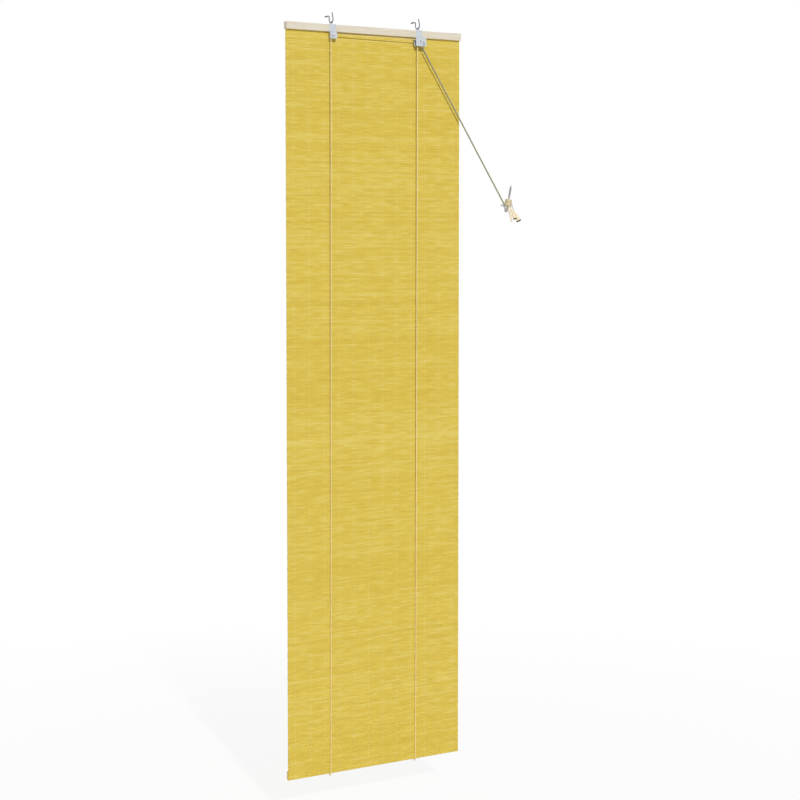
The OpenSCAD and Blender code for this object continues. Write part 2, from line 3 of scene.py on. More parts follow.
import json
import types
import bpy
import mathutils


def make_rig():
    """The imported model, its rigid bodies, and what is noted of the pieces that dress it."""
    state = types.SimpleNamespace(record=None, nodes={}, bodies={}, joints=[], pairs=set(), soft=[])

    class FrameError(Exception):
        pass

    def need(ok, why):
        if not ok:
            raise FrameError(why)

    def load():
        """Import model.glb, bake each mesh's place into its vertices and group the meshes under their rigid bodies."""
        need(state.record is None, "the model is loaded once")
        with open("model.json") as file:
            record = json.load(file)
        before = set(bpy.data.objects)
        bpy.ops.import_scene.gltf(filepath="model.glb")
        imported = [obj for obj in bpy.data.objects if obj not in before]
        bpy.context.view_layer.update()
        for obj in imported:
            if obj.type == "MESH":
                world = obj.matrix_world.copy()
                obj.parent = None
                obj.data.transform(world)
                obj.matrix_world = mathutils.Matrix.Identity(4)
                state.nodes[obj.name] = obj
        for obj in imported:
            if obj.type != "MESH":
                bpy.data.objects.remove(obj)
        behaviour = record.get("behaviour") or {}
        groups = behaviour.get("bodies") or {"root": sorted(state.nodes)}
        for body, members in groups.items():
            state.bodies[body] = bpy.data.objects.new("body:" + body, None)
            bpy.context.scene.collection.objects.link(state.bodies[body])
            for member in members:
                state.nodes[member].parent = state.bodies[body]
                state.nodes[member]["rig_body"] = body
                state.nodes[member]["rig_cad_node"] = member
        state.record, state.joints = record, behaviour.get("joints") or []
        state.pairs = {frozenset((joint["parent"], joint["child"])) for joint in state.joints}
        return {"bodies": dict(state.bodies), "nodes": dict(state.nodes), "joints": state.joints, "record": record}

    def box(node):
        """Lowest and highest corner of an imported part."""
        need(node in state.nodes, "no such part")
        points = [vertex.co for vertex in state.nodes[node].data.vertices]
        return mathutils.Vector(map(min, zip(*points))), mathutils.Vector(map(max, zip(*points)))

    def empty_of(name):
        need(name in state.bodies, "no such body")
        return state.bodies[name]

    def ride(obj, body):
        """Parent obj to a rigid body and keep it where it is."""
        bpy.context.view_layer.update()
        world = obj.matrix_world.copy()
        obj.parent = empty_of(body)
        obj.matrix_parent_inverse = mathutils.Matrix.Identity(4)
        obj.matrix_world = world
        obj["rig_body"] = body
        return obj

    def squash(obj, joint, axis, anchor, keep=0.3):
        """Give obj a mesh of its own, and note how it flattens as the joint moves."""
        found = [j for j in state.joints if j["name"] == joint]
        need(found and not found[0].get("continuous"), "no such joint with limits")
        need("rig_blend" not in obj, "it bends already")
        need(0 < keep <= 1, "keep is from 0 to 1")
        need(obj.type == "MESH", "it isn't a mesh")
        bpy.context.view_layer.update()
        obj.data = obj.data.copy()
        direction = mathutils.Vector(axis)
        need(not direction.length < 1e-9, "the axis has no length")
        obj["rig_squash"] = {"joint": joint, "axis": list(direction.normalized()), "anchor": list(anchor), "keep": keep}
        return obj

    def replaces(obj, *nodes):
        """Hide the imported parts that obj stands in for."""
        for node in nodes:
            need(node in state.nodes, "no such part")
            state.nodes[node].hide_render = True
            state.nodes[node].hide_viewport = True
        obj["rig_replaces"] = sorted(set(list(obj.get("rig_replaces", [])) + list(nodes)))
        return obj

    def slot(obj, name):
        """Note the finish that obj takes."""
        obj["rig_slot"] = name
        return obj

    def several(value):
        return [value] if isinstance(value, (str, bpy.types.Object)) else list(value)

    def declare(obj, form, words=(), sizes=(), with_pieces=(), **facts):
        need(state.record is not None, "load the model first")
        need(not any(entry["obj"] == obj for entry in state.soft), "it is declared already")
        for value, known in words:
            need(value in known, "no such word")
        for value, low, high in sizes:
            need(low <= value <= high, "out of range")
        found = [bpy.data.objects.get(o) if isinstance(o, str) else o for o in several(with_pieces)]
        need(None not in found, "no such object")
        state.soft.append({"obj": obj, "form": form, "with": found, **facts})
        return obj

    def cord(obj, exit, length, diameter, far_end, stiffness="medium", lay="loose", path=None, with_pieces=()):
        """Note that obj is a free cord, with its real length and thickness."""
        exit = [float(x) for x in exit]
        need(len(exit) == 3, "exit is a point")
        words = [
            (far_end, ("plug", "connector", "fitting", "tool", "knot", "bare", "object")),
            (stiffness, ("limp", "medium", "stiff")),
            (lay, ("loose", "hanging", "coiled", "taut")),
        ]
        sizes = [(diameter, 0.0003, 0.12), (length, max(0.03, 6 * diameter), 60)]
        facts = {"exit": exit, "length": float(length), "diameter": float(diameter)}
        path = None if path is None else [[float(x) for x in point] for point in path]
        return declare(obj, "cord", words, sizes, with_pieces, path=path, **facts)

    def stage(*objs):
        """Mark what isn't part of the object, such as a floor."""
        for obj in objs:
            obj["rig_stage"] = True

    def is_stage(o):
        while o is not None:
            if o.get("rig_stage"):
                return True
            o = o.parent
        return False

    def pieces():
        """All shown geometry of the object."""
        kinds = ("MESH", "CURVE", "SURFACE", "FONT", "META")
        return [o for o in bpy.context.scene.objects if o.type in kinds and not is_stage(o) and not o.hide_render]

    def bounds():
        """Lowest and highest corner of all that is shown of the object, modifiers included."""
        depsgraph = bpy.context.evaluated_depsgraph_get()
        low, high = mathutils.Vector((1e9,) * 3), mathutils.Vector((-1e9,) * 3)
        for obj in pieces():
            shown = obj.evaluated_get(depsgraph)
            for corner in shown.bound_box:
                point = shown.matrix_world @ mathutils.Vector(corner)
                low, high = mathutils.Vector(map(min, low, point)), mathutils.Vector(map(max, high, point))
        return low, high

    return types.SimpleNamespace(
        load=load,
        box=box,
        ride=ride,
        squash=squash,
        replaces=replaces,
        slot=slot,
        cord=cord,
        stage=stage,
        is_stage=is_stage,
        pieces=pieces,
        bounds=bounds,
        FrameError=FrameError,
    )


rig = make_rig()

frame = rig.load()

import json
import math

import bpy
import numpy as np
from bpy.props import FloatProperty, FloatVectorProperty, IntProperty, PointerProperty
from mathutils import Vector

bl_info = {
    "name": "Roll-up bamboo blind",
    "version": (1, 0, 0),
    "blender": (4, 5, 0),
    "location": "View3D > Sidebar > Blind",
    "description": "Builds the visible pieces of a roll-up bamboo slat blind",
    "category": "Object",
}

FULL_TURN = 2 * math.pi
X_AXIS = Vector((1, 0, 0))
Y_AXIS = Vector((0, 1, 0))
Z_AXIS = Vector((0, 0, 1))

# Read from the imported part
CAD_BOX = [list(corner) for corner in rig.bounds()]
MAT_LOW, MAT_HIGH = (Vector(c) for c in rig.box("slat_mat"))
MAT_Y = (MAT_LOW.y + MAT_HIGH.y) / 2
MAT_HALF_T = (MAT_HIGH.y - MAT_LOW.y) / 2
LIFT_RANGE = next(j for j in frame["joints"] if j["name"] == "lift")["range_m"][1]

# Camera, in metres and degrees; sensor and lens in millimetres
SENSOR_WIDTH = 36
LENS = 84.12
LENS_SHIFT = -0.05
VIEW_END = 120
CAMERA_AT = (-2.9087, -4.7321, -0.6598)
CAMERA_DIP = 3.55
CAMERA_YAW = -32.43

# Lamps: name, direction towards the lamp, strength, spread in degrees
SUNS = (("key", (-0.26, -1.0, 0.59), 2.34, 2), ("back", (-0.2, 1.0, 0.5), 1.35, 60))
SKY_LIGHT = 0.2

# Floor: white far away, and a share of its own shading near the blind
FLOOR_HALF = 40.0
FLOOR_DROP = 0.12
FLOOR_GREY = 0.9
FLOOR_NEAR_WHITE = 0.88
FLOOR_NEAR, FLOOR_FAR = 2.3, 3.6

# Cords over the wheels, the same route as in the solids, in metres
CORD_R = 0.00125
LANE_0 = -0.0288
LANE_1 = -0.0338
LANE_MIDDLE = (LANE_0 + LANE_1) / 2
WHEEL_Z = -0.059
RUN_R = 0.005
LEFT_WHEEL_X = -0.1515
RIGHT_WHEEL_X = 0.1465
GUIDE_X = 0.156
GUIDE_Z = -0.0708
GUIDE_RUN = 0.0031
BACK_Y = -0.0067
FRONT_Y = -0.01895
CORD_TOP = -0.0395
TAIL_STEP = 0.003

# Pull cords: direction, length, gap to the lift cords, and how they come together
PULL_X = 0.5479
PULL_Z = -0.8366
PULL_L = 0.555
JOIN_GAP = 0.0002
PULL_GAP = 0.0016
MEET_L = 0.06

# The free runs are thicker than the runs in the wheels, and neck down to them
CORD_FULL_R = 0.0016
PULL_NECK = (0.004, 0.014)
LIFT_NECK = (0.014, 0.006)

# Fineness of the cord meshes and of their fibres
CORD_STEP = 0.0012
LIFT_STEP = 0.0015
FINE_STEP = 0.0008
WHEEL_PARTS = 8
GUIDE_PARTS = 4
LOOP_PARTS = 12
FIBRE_SCALE = 900
THREAD_FIBRE_SCALE = 700
BORE_SHADE_FIBRE_SCALE = 1200

# Cord hook and the turns of cord round its shank
SCREW_R = 0.0028
SCREW_TILT = math.radians(12)
SHANK_END = -0.026
WRAP_R = 0.011
WRAP_H = 0.024
WRAP_SIDE = 0.00229
WRAP_RISE = 0.006
TURNS_PER_LAYER = 8.4
POINTS_PER_TURN = 24
LAYER_R = (SCREW_R + 0.00135, SCREW_R + 0.0041, WRAP_R - CORD_R - 0.0001)

# Tails, from the side of the turns to the tops of the tassels
TAIL_R = CORD_R - 0.0003
LEFT_TAIL_RISE = -0.003
RIGHT_TAIL_RISE = 0.004
TAIL_START_R = WRAP_R + 0.00105
TAIL_BEND_R = WRAP_R + 0.0025
TAIL_BEND_DROP = 0.0015
TAIL_STRAIGHT = 0.004
TAIL_END = 0.0001

# Tassels
TASSEL_LEAN = math.radians(18)
TASSEL_H = 0.036
LEFT_DROP = Vector((0.012, 0, -0.0165))
RIGHT_DROP = Vector((0.022, 0, -0.0245))
LEFT_TILT = math.radians(11.6)
RIGHT_TILT = math.radians(20.9)
LEFT_TASSEL_R = 0.005
RIGHT_TASSEL_R = 0.0076

# Painted shade in the bored end of a tassel, with a dark band round the outside of its rim: radius and height of the
# bottom, then the wall from the tassel's own radius
BORE_SHADE_BOTTOM = (0.0006, 0.0036)
BORE_SHADE_WALL = ((-0.0026, 0.0024), (-0.0018, 0.0006), (-0.0016, -0.00006), (-0.0008, -0.00006),
             (0.00006, 0.001), (0.00006, 0.0032), (-0.00005, 0.0034))

# Eyes of the brackets, and the dark rims painted round them as the hook's shade
EYE_Y = -0.0165
EYE_Z = -0.02145
EYE_R = 0.0026
EYE_RIM_R = 0.0008
EYE_RIM_H = 0.001
EYE_RIM_POINTS = 12
RING_STEPS = 32

# Slats: tones run from 0, warm, to 1, pale
SLAT_SEED = 7
SLAT_SPANS = 24
LAP_RANGE = (0.5, 1.5)
THICKNESS_RANGE = (0.8, 1.0)
END_PLAY = 0.0008
MIDDLE_TONE = 0.5
PATCH_TONE = 0.22
PATCH_SLATS = 25
SLAT_TONE = 0.13
DRIFT_TONE = 0.22
WANDER_SPREAD = 3
EDGE_H = 0.0009
EDGE_SHARE = 0.2
EDGE_THIN = 0.3
# Painted shade: 1 marks the thin top and bottom edges of a slat, where it meets the next, for darkening
GROOVE_SHADE_RING = (1, 0, 0, 1, 1, 0, 0, 1)

# Warp strands: side of the mat at each half slat, then shares of the strand's radius
WEAVE = np.array((0.0, 1.0, 0.0, -1.0))
STRAND_SIDES = 4
STRAND_SEAT = 0.6
STRAND_LEAN = 0.35
STRAND_WIDTH = 1.5

# Screw threads: a cone has places on the shank with the radius of the thread's foot and crest
SCREW_PITCH = 0.0022
SCREW_STEPS = 20
SCREW_FLANK = 0.45
SCREW_SINK = 0.0001
HOOK_CREST = 0.0005
HOOK_START = 0.0015
HOOK_TAPER = 0.005
HOOK_END = 0.0018
HOOK_TIP = (0.0009, 0.0014)
CORD_HOOK_CONE = ((0.018, SCREW_R - 0.0001, 0.0036), (0.046, SCREW_R - 0.0005, 0.0036),
                  (0.0545, 0.0006, 0.0019))

# Bent end of the cord hook: across and along the shank
BEND_WIRE_R = SCREW_R - 0.0004
BEND_SIDES = 12
BEND_UP = 0.001
BEND_SINK = 0.002
BEND_R = 0.003
BEND_TURN = math.radians(165)
BEND_POINTS = 9
BEND_ARM = ((-0.0066, 0.004), (-0.0092, 0.0092), (-0.0135, 0.0122), (-0.0235, 0.0138))
CURVE_POINTS = 6

WHITE = (1, 1, 1, 1)
EVEN = (1, 1, 1)
BUMP_STRENGTH = 0.6


def linear(r, g, b):
    """A colour that is written in 8-bit display steps, as the shader's linear values."""
    def one(c):
        c /= 255
        return c / 12.92 if c <= 0.04045 else ((c + 0.055) / 1.055) ** 2.4
    return one(r), one(g), one(b)


def colour(name, about, rgb):
    """A colour that the panel shows."""
    return FloatVectorProperty(name=name, description=about, default=linear(*rgb),
                               subtype="COLOR", min=0, max=1)


def size(name, about, metres):
    """A length that the panel shows."""
    return FloatProperty(name=name, description=about, default=metres, unit="LENGTH")


class BLIND_PG_sizes(bpy.types.PropertyGroup):
    """Sizes of the visible detail."""
    slat_count: IntProperty(name="Slats", description="Number of slats in the mat",
                            default=408, min=50)
    slat_lap: size("Slat lap", "How far the bowed edges of two slats lap", 0.00045)
    slat_bow: size("Slat bow", "How far a slat wanders", 0.00011)
    thread_pitch: size("Thread pitch", "Distance between warp threads", 0.05)
    thread_r: size("Thread radius", "Radius of one warp strand", 0.00045)
    lay_pitch: size("Cord lay", "Length of one turn of the cord's strands", 0.009)


class BLIND_PG_colours(bpy.types.PropertyGroup):
    """Colours of the finishes."""
    bamboo: colour("Bamboo", "Usual colour of a slat", (217, 193, 83))
    bamboo_warm: colour("Warm bamboo", "Colour of the browner slats", (211, 184, 73))
    bamboo_pale: colour("Pale bamboo", "Colour of the paler slats", (223, 202, 105))
    thread: colour("Thread", "Colour of the warp threads", (236, 218, 144))
    rail: colour("Rail", "Colour of the head rail", (225, 218, 202))
    lift_cord: colour("Lift cord", "Colour of the lift cords", (246, 224, 160))
    # The pull cords and tails are the same cord as the lift cords, painted darker as shade; the turns are painted
    # lighter as lit cord
    pull_cord: colour("Pull cord", "Colour of the pull cords and the tails", (180, 175, 146))
    wound_cord: colour("Wound cord", "Colour of the turns", (240, 227, 190))
    zinc: colour("Zinc", "Colour of the plated sheet", (206, 212, 219))
    hook: colour("Hook", "Colour of the hook wire", (112, 114, 120))
    cord_hook: colour("Cord hook", "Colour of the hook on the pull cord", (174, 172, 171))
    # A dark colour painted as the shade inside and round the open end of each tassel
    bore_painted_shade: colour("Bored end", "Colour inside the tassels", (88, 76, 56))
    peg: colour("Peg", "Colour of the peg", (244, 232, 208))
    tassel: colour("Tassel", "Colour of the tassels", (238, 224, 190))


def sizes():
    """The sizes that the panel shows."""
    return bpy.context.scene.blind_sizes


def colours():
    """The colours that the panel shows."""
    return bpy.context.scene.blind_colours


class Value:
    """A shader socket that sums can be written with."""

    def __init__(self, tree, socket):
        self.tree = tree
        self.socket = socket

    @classmethod
    def node(cls, tree, kind, settings=(), sockets=(), out=0):
        """Adds a node: its settings first, then the values or links of its sockets."""
        made = tree.nodes.new(kind)
        for key, value in dict(settings).items():
            setattr(made, key, value)
        for key, value in dict(sockets).items():
            if isinstance(value, Value):
                tree.links.new(value.socket, made.inputs[key])
            else:
                made.inputs[key].default_value = value
        return cls(tree, made.outputs[out])

    def _sum(self, operation, a, b):
        return Value.node(self.tree, "ShaderNodeMath", {"operation": operation}, {0: a, 1: b})

    def __add__(self, other):
        return self._sum("ADD", self, other)

    def __radd__(self, other):
        return self._sum("ADD", other, self)

    def __sub__(self, other):
        return self._sum("SUBTRACT", self, other)

    def __rsub__(self, other):
        return self._sum("SUBTRACT", other, self)

    def __mul__(self, other):
        return self._sum("MULTIPLY", self, other)

    def __rmul__(self, other):
        return self._sum("MULTIPLY", other, self)


def rgba(c):
    """The colour with full cover."""
    return (*c, 1)


def darker(rgb, factors):
    """The colour with a factor for each of its three values."""
    return tuple(v * k for v, k in zip(rgb, factors))


def object_place(tree):
    """The point in the piece's own space."""
    return Value.node(tree, "ShaderNodeTexCoord", out="Object")


def attribute(tree, name):
    """A number that is stored on the mesh."""
    return Value.node(tree, "ShaderNodeAttribute", {"attribute_name": name}, out="Fac")


def blend_colours(tree, factor, a, b, mode="MIX"):
    """Colour a, with b laid over it by the factor."""
    return Value.node(tree, "ShaderNodeMix", {"data_type": "RGBA", "blend_type": mode},
                      {0: factor, 6: a, 7: b}, 2)


def noise(tree, stretch, scale, detail=3.0):
    """Noise in the piece's own space, stretched along the axes."""
    mapped = Value.node(tree, "ShaderNodeMapping", (),
                        {"Vector": object_place(tree), "Scale": stretch})
    return Value.node(tree, "ShaderNodeTexNoise", (),
                      {"Vector": mapped, "Scale": scale, "Detail": detail}, "Fac")


def ramp(tree, fac, low, high):
    """0 up to the low value, 1 from the high one."""
    return Value.node(tree, "ShaderNodeMapRange", {"clamp": True},
                      {"Value": fac, "From Min": low, "From Max": high})


def to_surface(tree, shader, kind="ShaderNodeOutputMaterial"):
    """Links the shader to the tree's output."""
    output = tree.nodes.new(kind)
    tree.links.new(shader.socket, output.inputs["Surface"])


def empty_tree(owner):
    """The node tree of a material or world, with nothing in it."""
    owner.use_nodes = True
    owner.node_tree.nodes.clear()
    return owner.node_tree


def finish(name, base, roughness, bump=None, bump_height=0.0002, **constants):
    """A material from functions of its tree for colour, roughness and bump."""
    material = bpy.data.materials.new(name)
    tree = empty_tree(material)
    sockets = {"Base Color": base(tree),
               "Roughness": roughness(tree) if callable(roughness) else roughness}
    if bump:
        sockets["Normal"] = Value.node(
            tree, "ShaderNodeBump", (),
            {"Height": bump(tree), "Strength": BUMP_STRENGTH, "Distance": bump_height})
    to_surface(tree, Value.node(tree, "ShaderNodeBsdfPrincipled", (), {**sockets, **constants}))
    return material


def bamboo_finish():
    """Split bamboo: a tone for each slat, fine streaks along it, and painted shade darkening the edges where the slats
    meet.
    """
    c = colours()
    streak_share, groove_share = 0.4, 0.6
    # The colour that both the grain streaks and the painted shade at the slat edges are drawn towards
    shade = (0.78, 0.7, 0.52, 1)

    def base(tree):
        tone = attribute(tree, "tone")
        streak = noise(tree, stretch=(13, 150, 330), scale=3.0, detail=4)
        body = blend_colours(tree, ramp(tree, tone, 0.0, 0.55), rgba(c.bamboo_warm), rgba(c.bamboo))
        body = blend_colours(tree, ramp(tree, tone, 0.5, 1.0), body, rgba(c.bamboo_pale))
        dark = blend_colours(tree, 1.0, body, shade, "MULTIPLY")
        # Painted shade darkens the edges where the slats meet
        groove = attribute(tree, "groove")
        marks = ramp(tree, streak, 0.45, 0.8) * streak_share + groove * groove_share
        return blend_colours(tree, marks, body, dark)

    def roughness(tree):
        return 0.75 - 0.2 * noise(tree, stretch=(9, 200, 420), scale=2.0)

    def bump(tree):
        return noise(tree, stretch=(14, 500, 900), scale=3.0)

    return finish("bamboo", base, roughness, bump, **{"Specular IOR Level": 0.25})


def rail_finish():
    """Planed wood with its grain along the rail."""
    c = colours()
    grain_stretch = (3, 120, 160)
    fine_share = 0.35

    def base(tree):
        grain = noise(tree, grain_stretch, scale=4.0, detail=5)
        fine = noise(tree, stretch=(10, 600, 700), scale=4.0, detail=2)
        dark = rgba(darker(c.rail, (0.80, 0.72, 0.58)))
        mixed = blend_colours(tree, ramp(tree, grain, 0.4, 0.75), rgba(c.rail), dark)
        return blend_colours(tree, ramp(tree, fine, 0.55, 0.8) * fine_share, mixed, dark)

    def roughness(tree):
        return 0.5 + 0.15 * noise(tree, grain_stretch, scale=4.0)

    def bump(tree):
        return noise(tree, stretch=(6, 300, 420), scale=4.0)

    return finish("rail wood", base, roughness, bump)


def turned_finish(name, rgb, stretch):
    """Smooth varnished wood, with its grain along the short stretch."""
    grain_scale, grain_share = 5.0, 0.5

    def base(tree):
        grain = noise(tree, stretch, grain_scale, detail=4)
        dark = rgba(darker(rgb, (0.86, 0.78, 0.64)))
        return blend_colours(tree, ramp(tree, grain, 0.45, 0.75) * grain_share, rgba(rgb), dark)

    def bump(tree):
        return noise(tree, stretch, grain_scale)

    return finish(name, base, 0.32, bump, bump_height=0.0001, **{"Coat Weight": 0.25})


def thread_finish(name, rgb, scale):
    """Dull fibre, for cords, threads and the painted shade of the bored ends."""
    def base(tree):
        fibre = noise(tree, EVEN, scale, detail=3)
        dark = darker(rgb, (0.72, 0.72, 0.72))
        return blend_colours(tree, ramp(tree, fibre, 0.4, 0.75), rgba(rgb), rgba(dark))

    def bump(tree):
        return noise(tree, EVEN, scale * 1.5)

    return finish(name, base, 0.8, bump, bump_height=0.0001)


def zinc_finish(name, rgb, roughness, wear_and_shade, metallic):
    """Plated steel with small crystals in the zinc and dull clouds."""
    crystal_share = 0.5

    def base(tree):
        cloud = noise(tree, EVEN, scale=160, detail=4)
        crystal = Value.node(tree, "ShaderNodeTexVoronoi", (),
                             {"Vector": object_place(tree), "Scale": 420.0}, "Color")
        dull = rgba(darker(rgb, (wear_and_shade, wear_and_shade, wear_and_shade)))
        body = blend_colours(tree, ramp(tree, cloud, 0.4, 0.7), rgba(rgb), dull)
        return blend_colours(tree, ramp(tree, crystal, 0.1, 0.9) * crystal_share, body, dull)

    def dulled(tree):
        return roughness + 0.2 * noise(tree, EVEN, scale=220.0)

    def bump(tree):
        return noise(tree, EVEN, scale=900.0)

    return finish(name, base, dulled, bump, bump_height=0.00005, Metallic=metallic)


def hook_finish():
    """The dark wire of the two hooks in the wall."""
    return zinc_finish("hook wire", tuple(colours().hook), roughness=0.3, wear_and_shade=0.7, metallic=0.6)


def cord_hook_finish():
    """The lighter wire of the hook on the pull cord."""
    return zinc_finish("cord hook wire", tuple(colours().cord_hook),
                       roughness=0.4, wear_and_shade=0.85, metallic=0.2)


def piece(name, verts, faces, material, body, slot, *nodes, smooth=True, **attributes):
    """A mesh piece that rides on a body and stands for the nodes named."""
    mesh = bpy.data.meshes.new(name)
    mesh.from_pydata(np.asarray(verts).tolist(), [], faces)
    mesh.materials.append(material)
    for key, values in attributes.items():
        stored = mesh.attributes.new(key, "FLOAT", "POINT")
        stored.data.foreach_set("value", np.asarray(values, np.float32))
    if smooth:
        mesh.polygons.foreach_set("use_smooth", [True] * len(mesh.polygons))
    mesh.update()
    made = bpy.data.objects.new(name, mesh)
    bpy.context.scene.collection.objects.link(made)
    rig.slot(made, slot)
    if nodes:
        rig.replaces(made, *nodes)
    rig.ride(made, body)
    return made


def flatten(made, x, y, fixed_z):
    """Lets the lift joint press the piece together towards its upper end."""
    span = fixed_z - MAT_LOW.z
    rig.squash(made, "lift", axis=(0, 0, 1), anchor=(x, y, fixed_z), keep=(span - LIFT_RANGE) / span)


def tube_faces(rings, sides, base=0):
    """Faces of a tube, closed at both ends, whose rings of vertices start at the base index."""
    faces = []
    for i in range(rings - 1):
        a = base + i * sides
        for j in range(sides):
            jj = (j + 1) % sides
            faces.append((a + j, a + jj, a + sides + jj, a + sides + j))
    faces.append(tuple(base + j for j in range(sides - 1, -1, -1)))
    faces.append(tuple(base + (rings - 1) * sides + j for j in range(sides)))
    return faces


def even(points, step):
    """The path with points an even step apart, and the length up to each."""
    p = np.asarray(points, float)
    along = np.concatenate([[0], np.cumsum(np.linalg.norm(np.diff(p, axis=0), axis=1))])
    count = max(2, int(math.ceil(along[-1] / step)) + 1)
    s = np.linspace(0, along[-1], count)
    return np.stack([np.interp(s, along, p[:, k]) for k in range(3)], 1), s


def side_directions(p):
    """Two directions across a path at each point, without twist."""
    t = np.gradient(p, axis=0)
    t /= np.linalg.norm(t, axis=1)[:, None]
    side = np.zeros_like(p)
    start = np.array([1.0, 0, 0]) if abs(t[0, 0]) < 0.8 else np.array([0, 1.0, 0])
    for i in range(len(p)):
        start = start - t[i] * (start @ t[i])
        start /= np.linalg.norm(start)
        side[i] = start
    return side, np.cross(t, side)


def rope(points, radius, lay, step, sides=10, lobes=3, depth=0.16):
    """A twisted cord along a path: vertices, faces, even path and length.

    The radius is one number, or lengths along the path and the radii there."""
    p, s = even(points, step)
    u, w = side_directions(p)
    a = np.linspace(0, FULL_TURN, sides, endpoint=False)
    turn = FULL_TURN * s[:, None] / lay
    r = np.interp(s, *radius)[:, None] if isinstance(radius, tuple) else radius
    r = r * (1 - depth / 2 + depth / 2 * np.cos(lobes * (a[None, :] - turn)))
    out = np.cos(a)[None, :, None] * u[:, None, :] + np.sin(a)[None, :, None] * w[:, None, :]
    verts = p[:, None, :] + r[..., None] * out
    return verts.reshape(-1, 3), tube_faces(len(p), sides), p, s[-1]


def curve_through(points, per_span):
    """A smooth path through the points."""
    p = np.asarray([points[0], *points, points[-1]], float)
    path = []
    for before, here, there, after in zip(p, p[1:], p[2:], p[3:]):
        for t in np.linspace(0, 1, per_span, endpoint=False):
            path.append(0.5 * (2 * here + (there - before) * t
                               + (2 * before - 5 * here + 4 * there - after) * t ** 2
                               + (3 * here - before - 3 * there + after) * t ** 3))
    return [*path, p[-2]]


def arc(cx, cz, y, r, a0, a1, n):
    """Points on an arc that faces the room, from angle a0 to a1 in degrees."""
    angles = [math.radians(a0 + (a1 - a0) * i / n) for i in range(n + 1)]
    return [(cx + r * math.cos(a), y, cz + r * math.sin(a)) for a in angles]


def slat_pitch():
    """Distance from one slat to the next."""
    return (MAT_HIGH.z - MAT_LOW.z) / sizes().slat_count


def hook_wire(side):
    """Middle in X, radius and depth in the wall of a wall hook's wire."""
    low, high = (Vector(c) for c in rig.box(side + "_hook"))
    return (low.x + high.x) / 2, (high.x - low.x) / 2, high.y


def pull_ends():
    """Where the pull cords leave the lock, and where they reach the turns, in X and Z."""
    guide_a = math.atan2(PULL_Z, PULL_X) - math.pi / 2
    start_x = GUIDE_X + GUIDE_RUN * math.cos(guide_a) + (TAIL_STEP + JOIN_GAP) * PULL_X
    start_z = GUIDE_Z + GUIDE_RUN * math.sin(guide_a) + (TAIL_STEP + JOIN_GAP) * PULL_Z
    return start_x, start_z, start_x + PULL_L * PULL_X, start_z + PULL_L * PULL_Z


def wrap_middle():
    """The middle of the turns of cord on the cord hook."""
    _, _, knob_x, knob_z = pull_ends()
    return Vector((knob_x + WRAP_R + WRAP_SIDE, LANE_MIDDLE, knob_z + WRAP_RISE))


def shank_directions():
    """The directions along the cord hook's shank and across it."""
    cos, sin = math.cos(SCREW_TILT), math.sin(SCREW_TILT)
    return Vector((sin, 0, cos)), Vector((cos, 0, -sin))


def tassel_axis(tilt):
    """The direction from a tassel's open end to its top."""
    lean = math.cos(TASSEL_LEAN)
    return Vector((-math.sin(tilt) * lean, math.sin(TASSEL_LEAN), math.cos(tilt) * lean))


class BLIND_OT_stage(bpy.types.Operator):
    """Camera, lamps, floor and background"""
    bl_idname = "blind.stage"
    bl_label = "Stage"

    def execute(self, context):
        scene = context.scene
        scene.view_settings.view_transform = "Standard"
        self.camera(scene)
        for name, towards, strength, spread in SUNS:
            self.sun(scene, name, towards, strength, spread)
        self.floor(scene)
        self.world(scene)
        return {"FINISHED"}

    def camera(self, scene):
        """The camera that sees the blind as the photo does."""
        data = bpy.data.cameras.new("camera")
        data.sensor_width = SENSOR_WIDTH
        data.lens = LENS
        data.shift_y = LENS_SHIFT
        data.clip_end = VIEW_END
        camera = bpy.data.objects.new("camera", data)
        camera.location = CAMERA_AT
        camera.rotation_euler = (math.radians(90 - CAMERA_DIP), 0, math.radians(CAMERA_YAW))
        scene.collection.objects.link(camera)
        scene.camera = camera

    def sun(self, scene, name, towards, strength, spread):
        """An even light from one direction over the whole height of the mat."""
        data = bpy.data.lights.new(name, "SUN")
        data.energy = strength
        data.angle = math.radians(spread)
        lamp = bpy.data.objects.new(name, data)
        lamp.rotation_euler = Vector(towards).to_track_quat("Z", "Y").to_euler()
        scene.collection.objects.link(lamp)

    def seen(self, tree):
        """1 for a ray that sees the stage, 0 for one that only gathers its light."""
        camera, glossy, through = (
            Value.node(tree, "ShaderNodeLightPath", out=name)
            for name in ("Is Camera Ray", "Is Glossy Ray", "Is Transmission Ray"))
        return ramp(tree, camera + glossy + through, 0.0, 1.0)

    def floor(self, scene):
        """A floor below the blind that takes a faint shadow and is white far away."""
        h, z = FLOOR_HALF, MAT_LOW.z - FLOOR_DROP
        mesh = bpy.data.meshes.new("floor")
        mesh.from_pydata([(-h, -h, z), (h, -h, z), (h, h, z), (-h, h, z)], [], [(0, 1, 2, 3)])
        floor = bpy.data.objects.new("floor", mesh)
        scene.collection.objects.link(floor)
        material = bpy.data.materials.new("floor")
        tree = empty_tree(material)
        matt = Value.node(tree, "ShaderNodeBsdfDiffuse", (), {"Color": rgba((FLOOR_GREY,) * 3)})
        white = Value.node(tree, "ShaderNodeEmission", (), {"Color": WHITE, "Strength": 1.0})
        away = Value.node(tree, "ShaderNodeVectorMath", {"operation": "LENGTH"},
                          {0: object_place(tree)}, "Value")
        share = ramp(tree, away, FLOOR_NEAR, FLOOR_FAR) * (1 - FLOOR_NEAR_WHITE) + FLOOR_NEAR_WHITE
        to_surface(tree, Value.node(tree, "ShaderNodeMixShader", (),
                                    {0: self.seen(tree) * share, 1: matt, 2: white}))
        mesh.materials.append(material)
        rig.stage(floor)

    def world(self, scene):
        """A background that looks white and gives a little light from all sides."""
        scene.world = bpy.data.worlds.new("studio")
        tree = empty_tree(scene.world)
        strength = self.seen(tree) * (1 - SKY_LIGHT) + SKY_LIGHT
        to_surface(tree, Value.node(tree, "ShaderNodeBackground", (),
                                    {"Color": WHITE, "Strength": strength}),
                   "ShaderNodeOutputWorld")


